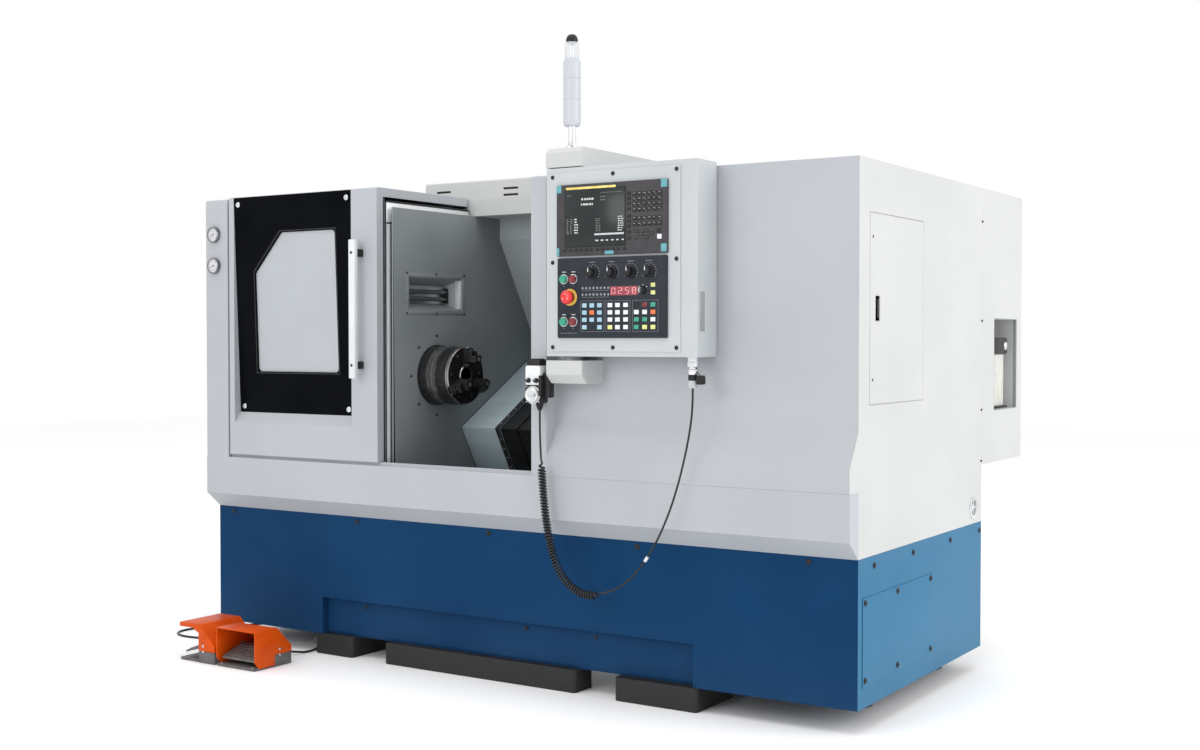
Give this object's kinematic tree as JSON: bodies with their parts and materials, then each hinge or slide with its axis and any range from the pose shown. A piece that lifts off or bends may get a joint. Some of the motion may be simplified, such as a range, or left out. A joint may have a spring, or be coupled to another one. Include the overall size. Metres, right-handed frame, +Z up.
{
  "type": "cnc turning lathe",
  "caption": "Slant-bed turning lathe in sheet-metal covers with a sliding door, chuck, tool turret, tailstock, operator panel, handwheel box and foot switches.",
  "frame": {"origin": "centre of the footprint on the floor, measured without the free cords", "axes": "+X from the headstock end to the tailstock end along the spindle, +Y from the operator to the back, +Z up"},
  "size_m": [2.8327, 1.88, 2.095],
  "materials": {
    "covers": "satin",
    "base_blue": "satin",
    "feet_black": "matt",
    "bed_iron": "machined",
    "steel": "turned",
    "chuck_steel": "turned",
    "jaw_steel": "blackened",
    "guard_grey": "satin",
    "cover_grey": "satin",
    "door_black": "gloss",
    "window": "clear",
    "handle_white": "satin",
    "lamp_glass": "tinted",
    "screen_dark": "matt",
    "operator_grey": "matt",
    "red": "gloss",
    "green": "gloss",
    "dark_red": "gloss",
    "black_plastic": "matt",
    "orange": "satin",
    "pedal_grey": "matt",
    "cord_black": "matt",
    "lens": "frosted",
    "chrome": "polished",
    "pendant_white": "matt",
    "zinc": "zinc",
    "bottle": "translucent",
    "wheel_silver": "satin"
  },
  "bodies": {
    "machine": {"base_frame": "base_blue", "bed_feet": "feet_black", "machine_bed": "bed_iron", "headstock": "bed_iron", "splash_guard": "guard_grey", "work_light": "lamp_glass", "way_cover": "cover_grey", "front_skirt": "covers", "headstock_cover": "covers", "right_front_cover": "covers", "right_end_cover": "covers", "roof_rear_cover": "covers", "electrical_cabinet": "covers", "lubrication_unit": "bottle", "panel_arm": "covers", "signal_tower": "lens", "pressure_gauges": "chrome", "pendant_body": "pendant_white", "foot_switch_hoods": "orange", "cover_screws": "zinc", "pendant_lead": "cord_black", "pendant_curl": "cord_black", "foot_cord_left": "cord_black", "foot_cord_right": "cord_black"},
    "spindle": {"spindle": "steel", "chuck_body": "chuck_steel"},
    "jaw_1": {"jaw_1": "jaw_steel"},
    "jaw_2": {"jaw_2": "jaw_steel"},
    "jaw_3": {"jaw_3": "jaw_steel"},
    "cover_1": {"way_cover_mid_1": "cover_grey"},
    "cover_2": {"way_cover_mid_2": "cover_grey"},
    "saddle": {"saddle": "bed_iron"},
    "cross_slide": {"turret_slide": "bed_iron"},
    "turret": {"turret_disc": "steel"},
    "tailstock": {"tailstock": "bed_iron"},
    "quill": {"quill": "steel"},
    "door": {"door_frame": "covers", "door_plate": "door_black", "door_glass": "window", "door_handle": "handle_white"},
    "access_door": {"access_door": "covers"},
    "cabinet_door": {"cabinet_door": "covers"},
    "panel": {"panel_housing": "covers", "screen_unit": "screen_dark", "operator_unit": "operator_grey"},
    "emergency_stop": {"emergency_stop": "red"},
    "key_switch": {"key_switch": "zinc"},
    "pulse_wheel": {"pulse_wheel": "wheel_silver"},
    "selector_1": {"selector_knob_1": "black_plastic"},
    "selector_2": {"selector_knob_2": "black_plastic"},
    "pedal_left": {"pedal_left": "pedal_grey"},
    "pedal_right": {"pedal_right": "pedal_grey"},
    "button_1": {"push_button_1": "green"},
    "knob_1": {"rotary_knob_1": "black_plastic"},
    "button_2": {"push_button_2": "dark_red"},
    "knob_2": {"rotary_knob_2": "black_plastic"},
    "button_3": {"push_button_3": "green"},
    "knob_3": {"rotary_knob_3": "black_plastic"},
    "button_4": {"push_button_4": "dark_red"},
    "knob_4": {"rotary_knob_4": "black_plastic"}
  },
  "joints": [
    {"name": "door_slide", "type": "slide", "parent": "machine", "child": "door", "axis": [1, 0, 0], "range_m": [0, 0.65]},
    {"name": "spindle_turn", "type": "hinge", "parent": "machine", "child": "spindle", "pos_m": [-0.4, -0.37838, 1.01135], "axis": [1, 0, 0], "continuous": true},
    {"name": "jaw_1_slide", "type": "slide", "parent": "spindle", "child": "jaw_1", "axis": [0, 0, 1], "range_m": [0, 0.0037]},
    {"name": "jaw_2_slide", "type": "slide", "parent": "spindle", "child": "jaw_2", "axis": [0, -0.866, -0.5], "range_m": [0, 0.0037]},
    {"name": "jaw_3_slide", "type": "slide", "parent": "spindle", "child": "jaw_3", "axis": [0, 0.866, -0.5], "range_m": [0, 0.0037]},
    {"name": "saddle_slide", "type": "slide", "parent": "machine", "child": "saddle", "axis": [1, 0, 0], "range_m": [-0.205, 0.245]},
    {"name": "cover_1_slide", "type": "slide", "parent": "machine", "child": "cover_1", "axis": [1, 0, 0], "range_m": [-0.0684, 0.0817]},
    {"name": "cover_2_slide", "type": "slide", "parent": "machine", "child": "cover_2", "axis": [1, 0, 0], "range_m": [-0.1368, 0.1634]},
    {"name": "cross_slide", "type": "slide", "parent": "saddle", "child": "cross_slide", "axis": [0, 0.866, 0.5], "range_m": [-0.165, 0]},
    {"name": "turret_turn", "type": "hinge", "parent": "cross_slide", "child": "turret", "pos_m": [0.06, -0.06921, 1.18985], "axis": [1, 0, 0], "continuous": true},
    {"name": "tailstock_slide", "type": "slide", "parent": "machine", "child": "tailstock", "axis": [1, 0, 0], "range_m": [-0.3, 0.06]},
    {"name": "quill_slide", "type": "slide", "parent": "tailstock", "child": "quill", "axis": [1, 0, 0], "range_m": [-0.08, 0]},
    {"name": "panel_swivel", "type": "hinge", "parent": "machine", "child": "panel", "pos_m": [0.364, -0.664, 1.375], "axis": [0, 0, -1], "range_deg": [0, 75]},
    {"name": "emergency_stop_push", "type": "slide", "parent": "panel", "child": "emergency_stop", "axis": [0, 1, 0], "range_m": [0, 0.005]},
    {"name": "button_1_push", "type": "slide", "parent": "panel", "child": "button_1", "axis": [0, 1, 0], "range_m": [0, 0.003], "stiffness_N_per_m": 500, "springref_m": -0.002},
    {"name": "button_2_push", "type": "slide", "parent": "panel", "child": "button_2", "axis": [0, 1, 0], "range_m": [0, 0.003], "stiffness_N_per_m": 500, "springref_m": -0.002},
    {"name": "button_3_push", "type": "slide", "parent": "panel", "child": "button_3", "axis": [0, 1, 0], "range_m": [0, 0.003], "stiffness_N_per_m": 500, "springref_m": -0.002},
    {"name": "button_4_push", "type": "slide", "parent": "panel", "child": "button_4", "axis": [0, 1, 0], "range_m": [0, 0.003], "stiffness_N_per_m": 500, "springref_m": -0.002},
    {"name": "knob_1_turn", "type": "hinge", "parent": "panel", "child": "knob_1", "pos_m": [0.483, -0.736, 1.345], "axis": [0, -1, 0], "range_deg": [-120, 120]},
    {"name": "knob_2_turn", "type": "hinge", "parent": "panel", "child": "knob_2", "pos_m": [0.553, -0.736, 1.345], "axis": [0, -1, 0], "range_deg": [-120, 120]},
    {"name": "knob_3_turn", "type": "hinge", "parent": "panel", "child": "knob_3", "pos_m": [0.62, -0.736, 1.345], "axis": [0, -1, 0], "range_deg": [-120, 120]},
    {"name": "knob_4_turn", "type": "hinge", "parent": "panel", "child": "knob_4", "pos_m": [0.685, -0.736, 1.345], "axis": [0, -1, 0], "range_deg": [-120, 120]},
    {"name": "key_turn", "type": "hinge", "parent": "panel", "child": "key_switch", "pos_m": [0.664, -0.736, 1.288], "axis": [0, -1, 0], "range_deg": [0, 90]},
    {"name": "access_door_hinge", "type": "hinge", "parent": "machine", "child": "access_door", "pos_m": [1.3, -0.09, 1.23], "axis": [0, 0, 1], "range_deg": [0, 110]},
    {"name": "cabinet_door_hinge", "type": "hinge", "parent": "machine", "child": "cabinet_door", "pos_m": [0.239, 0.934, 1.175], "axis": [0, 0, 1], "range_deg": [0, 110]},
    {"name": "pulse_wheel_turn", "type": "hinge", "parent": "machine", "child": "pulse_wheel", "pos_m": [0.248, -0.722, 0.965], "axis": [0, -1, 0], "continuous": true},
    {"name": "selector_1_turn", "type": "hinge", "parent": "machine", "child": "selector_1", "pos_m": [0.233, -0.722, 1.011], "axis": [0, -1, 0], "range_deg": [-60, 60]},
    {"name": "selector_2_turn", "type": "hinge", "parent": "machine", "child": "selector_2", "pos_m": [0.263, -0.722, 1.011], "axis": [0, -1, 0], "range_deg": [-60, 60]},
    {"name": "pedal_left_press", "type": "hinge", "parent": "machine", "child": "pedal_left", "pos_m": [-1.022, -0.845, 0.06], "axis": [0, -1, 0], "range_deg": [0, 5], "stiffness_Nm_per_rad": 6, "springref_deg": -14.32},
    {"name": "pedal_right_press", "type": "hinge", "parent": "machine", "child": "pedal_right", "pos_m": [-0.86, -0.822, 0.06], "axis": [1, 0, 0], "range_deg": [0, 5], "stiffness_Nm_per_rad": 6, "springref_deg": -14.32}
  ],
  "couplings": [
    {"joint": "jaw_2_slide", "follows": "jaw_1_slide", "ratio": 1},
    {"joint": "jaw_3_slide", "follows": "jaw_1_slide", "ratio": 1},
    {"joint": "cover_1_slide", "follows": "saddle_slide", "ratio": 0.3333},
    {"joint": "cover_2_slide", "follows": "saddle_slide", "ratio": 0.6667}
  ]
}
